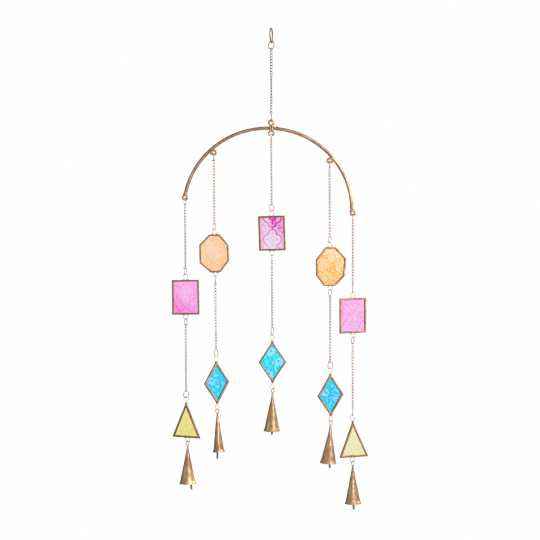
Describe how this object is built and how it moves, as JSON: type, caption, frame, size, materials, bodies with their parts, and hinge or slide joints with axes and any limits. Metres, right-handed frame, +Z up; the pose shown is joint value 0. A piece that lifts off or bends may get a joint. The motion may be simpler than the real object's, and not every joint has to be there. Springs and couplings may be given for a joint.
{
  "type": "hanging bell decoration",
  "caption": "Hanging decoration: a bent brass arch on a chain, with strands of chain, pressed-glass panels in brass channel and cone bells.",
  "frame": {"origin": "inside top of the hanging ring, where the hook bears", "axes": "+Z up, +X to the right and -Y towards the front, the side that has the eyes"},
  "size_m": [0.2849, 0.0246, 0.6985],
  "materials": {
    "ring_wire": "brushed, slightly aged",
    "chain_brass": "aged, dull in the hollows",
    "arch_brass": "brushed along its length, aged",
    "eye_brass": "brushed, darker at the bends",
    "frame_brass": "dark aged, tinned at the solder",
    "hanger_wire": "aged",
    "bell_brass": "hand-hammered, aged copper-brown",
    "clapper_brass": "dark aged",
    "pink_glass": "pressed relief, coloured, lets soft light through",
    "rose_glass": "pressed relief, coloured, lets soft light through",
    "orange_glass": "pressed relief, coloured, lets soft light through",
    "blue_glass": "pressed relief, coloured, lets soft light through",
    "yellow_glass": "pressed relief, coloured, lets soft light through"
  },
  "bodies": {
    "root": {"hanging_ring": "ring_wire", "jump_ring": "ring_wire", "hanging_chain": "chain_brass", "arch_rod": "arch_brass", "top_double_eye": "eye_brass", "left_end_eye": "eye_brass", "left_inner_eye": "eye_brass", "right_inner_eye": "eye_brass", "right_end_eye": "eye_brass", "outer_left_upper_chain": "chain_brass", "outer_left_pink_frame": "frame_brass", "outer_left_pink_glass": "pink_glass", "outer_left_lower_chain": "chain_brass", "outer_left_yellow_frame": "frame_brass", "outer_left_yellow_glass": "yellow_glass", "outer_left_bell_hanger": "hanger_wire", "outer_left_bell": "bell_brass", "outer_left_clapper": "clapper_brass", "inner_left_upper_chain": "chain_brass", "inner_left_orange_frame": "frame_brass", "inner_left_orange_glass": "orange_glass", "inner_left_lower_chain": "chain_brass", "inner_left_blue_frame": "frame_brass", "inner_left_blue_glass": "blue_glass", "inner_left_bell_hanger": "hanger_wire", "inner_left_bell": "bell_brass", "inner_left_clapper": "clapper_brass", "centre_upper_chain": "chain_brass", "centre_rose_frame": "frame_brass", "centre_rose_glass": "rose_glass", "centre_lower_chain": "chain_brass", "centre_blue_frame": "frame_brass", "centre_blue_glass": "blue_glass", "centre_bell_hanger": "hanger_wire", "centre_bell": "bell_brass", "centre_clapper": "clapper_brass", "inner_right_upper_chain": "chain_brass", "inner_right_orange_frame": "frame_brass", "inner_right_orange_glass": "orange_glass", "inner_right_lower_chain": "chain_brass", "inner_right_blue_frame": "frame_brass", "inner_right_blue_glass": "blue_glass", "inner_right_bell_hanger": "hanger_wire", "inner_right_bell": "bell_brass", "inner_right_clapper": "clapper_brass", "outer_right_upper_chain": "chain_brass", "outer_right_pink_frame": "frame_brass", "outer_right_pink_glass": "pink_glass", "outer_right_lower_chain": "chain_brass", "outer_right_yellow_frame": "frame_brass", "outer_right_yellow_glass": "yellow_glass", "outer_right_bell_hanger": "hanger_wire", "outer_right_bell": "bell_brass", "outer_right_clapper": "clapper_brass"}
  },
  "joints": []
}
